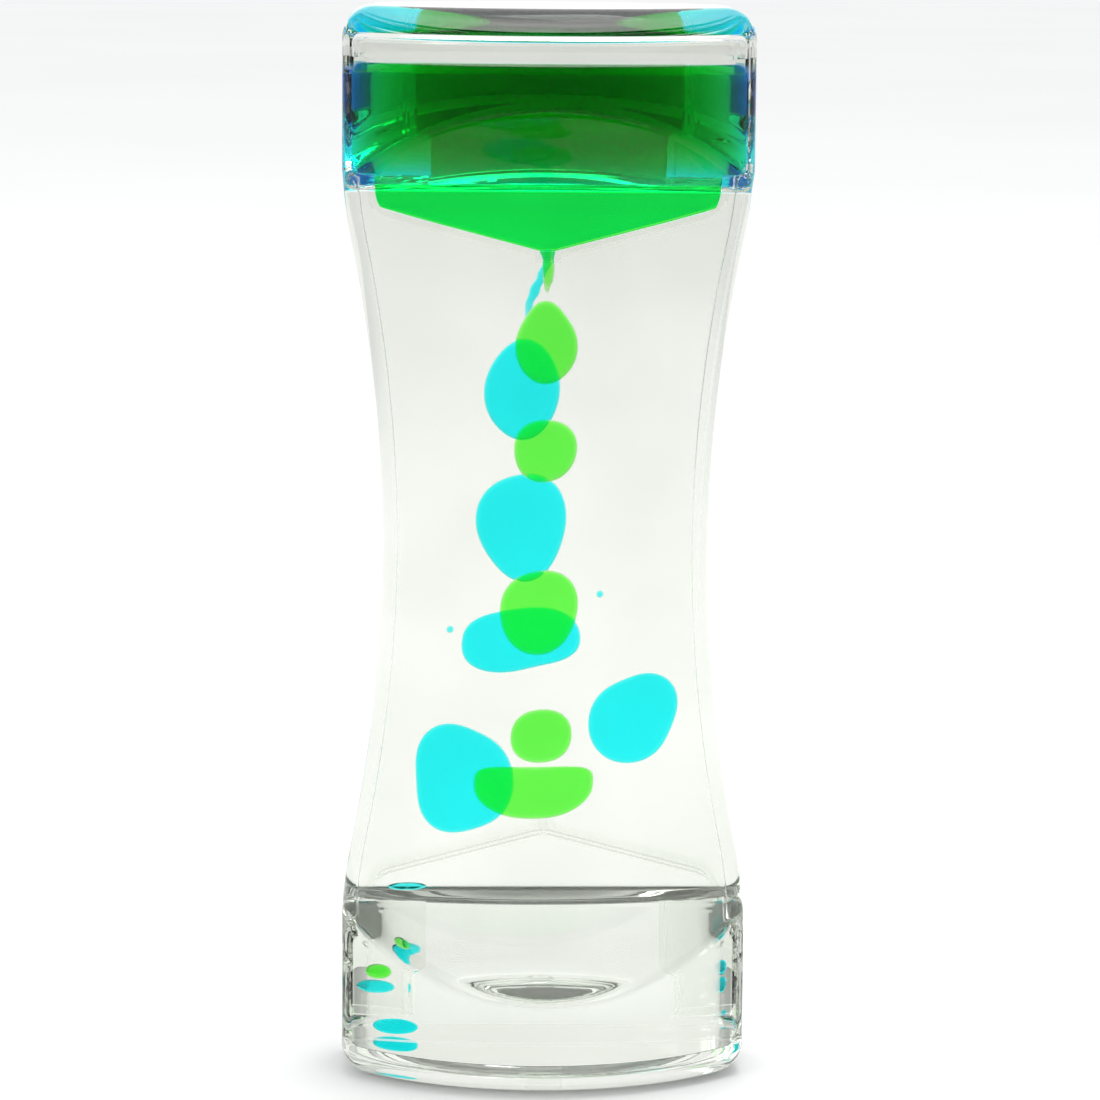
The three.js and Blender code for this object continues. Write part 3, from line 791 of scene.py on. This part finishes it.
green_line = ((0.0, 37.44, 1.0), (0.1, 36.5, 0.7), (0.15, 35.2, 0.75), (0.1, 33.9, 0.66), (0.0, 32.8, 0.36),
              (0.0, 32.2, 0.14))
blue_line = ((0.0, 37.44, 0.9), (0.0, 35.8, 0.5), (-0.6, 34.2, 0.6), (-1.5, 32.2, 0.68), (-2.2, 30.4, 0.5),
             (-2.6, 28.7, 0.16))
place(thread("green_nozzle_thread", GREEN, -1, green_line), "case", "green_liquid", "green_thread")
place(thread("blue_nozzle_thread", BLUE, 1, blue_line), "case", "blue_liquid", "blue_thread")

# ---------------------------------------------------------------- floor, world and lights
FLOOR = 12.0
FLOOR_DROP = 0.0002
floor_mesh = bpy.data.meshes.new("floor")
floor_mesh.from_pydata([(-FLOOR, -FLOOR, 0), (FLOOR, -FLOOR, 0), (FLOOR, FLOOR, 0), (-FLOOR, FLOOR, 0)],
                       [], [(0, 1, 2, 3)])
floor = bpy.data.objects.new("floor", floor_mesh)
scene.collection.objects.link(floor)
floor.location.z = low[2] - FLOOR_DROP
floor_material, floor_tree, floor_shader = new_material("floor_white")
floor_shader.inputs["Roughness"].default_value = 0.9
floor_shader.inputs["Specular IOR Level"].default_value = 0.0
floor_coords = floor_tree.nodes.new("ShaderNodeTexCoord")
add_tint(floor_tree, floor_shader, floor_coords, 3.0, (0.93, 0.93, 0.93), (0.95, 0.95, 0.95))
floor_mesh.materials.append(floor_material)

# The studio is white, a little darker behind the camera and far out to both sides.
WORLD_STRENGTH = 1.1
world = bpy.data.worlds.new("studio")
scene.world = world
world.use_nodes = True
nodes = world.node_tree.nodes
links = world.node_tree.links
background = nodes["Background"]
coords = nodes.new("ShaderNodeTexCoord")
split = nodes.new("ShaderNodeSeparateXYZ")
links.new(coords.outputs["Generated"], split.inputs["Vector"])


def world_ramp(source, stops):
    """Soft change between two (position, colour) stops."""
    ramp = nodes.new("ShaderNodeValToRGB")
    ramp.color_ramp.interpolation = "EASE"
    for element, (position, colour) in zip(ramp.color_ramp.elements, stops):
        element.position = position
        element.color = (*colour, 1)
    links.new(source, ramp.inputs["Fac"])
    return ramp.outputs["Color"]


scale_y = nodes.new("ShaderNodeMath")
scale_y.operation = "MULTIPLY_ADD"
scale_y.inputs[1].default_value = 0.5
scale_y.inputs[2].default_value = 0.5
links.new(split.outputs["Y"], scale_y.inputs[0])
side_way = nodes.new("ShaderNodeMath")
side_way.operation = "ABSOLUTE"
links.new(split.outputs["X"], side_way.inputs[0])
both = nodes.new("ShaderNodeVectorMath")
both.operation = "MULTIPLY"
front_colour = world_ramp(scale_y.outputs[0], ((0.25, (0.74, 0.75, 0.76)), (0.6, (1, 1, 1))))
side_colour = world_ramp(side_way.outputs[0], ((0.84, (1, 1, 1)), (0.98, (0.5, 0.5, 0.51))))
links.new(front_colour, both.inputs[0])
links.new(side_colour, both.inputs[1])
links.new(both.outputs["Vector"], background.inputs["Color"])
background.inputs["Strength"].default_value = WORLD_STRENGTH


def softbox(name, place_at, aim, size, watts):
    """Rectangular area light that looks at a point."""
    data = bpy.data.lights.new(name, "AREA")
    data.shape = "RECTANGLE"
    data.size, data.size_y = size
    data.energy = watts
    lamp = bpy.data.objects.new(name, data)
    scene.collection.objects.link(lamp)
    lamp.location = place_at
    direction = Vector(aim) - Vector(place_at)
    lamp.rotation_euler = direction.to_track_quat("-Z", "Y").to_euler()


softbox("softbox_top", (0.15, 0.1, 1.3), (0, 0, 0.05), (0.7, 0.5), 6)
softbox("softbox_left", (-1.1, -0.9, 0.8), (0, 0, 0.07), (0.5, 0.8), 4)

scene.view_settings.view_transform = "Standard"
scene.view_settings.look = "None"
CLEAR_BOUNCES = 40
scene.cycles.max_bounces = CLEAR_BOUNCES
scene.cycles.transmission_bounces = CLEAR_BOUNCES
scene.cycles.transparent_max_bounces = CLEAR_BOUNCES
scene.cycles.diffuse_bounces = 4
scene.cycles.glossy_bounces = 12
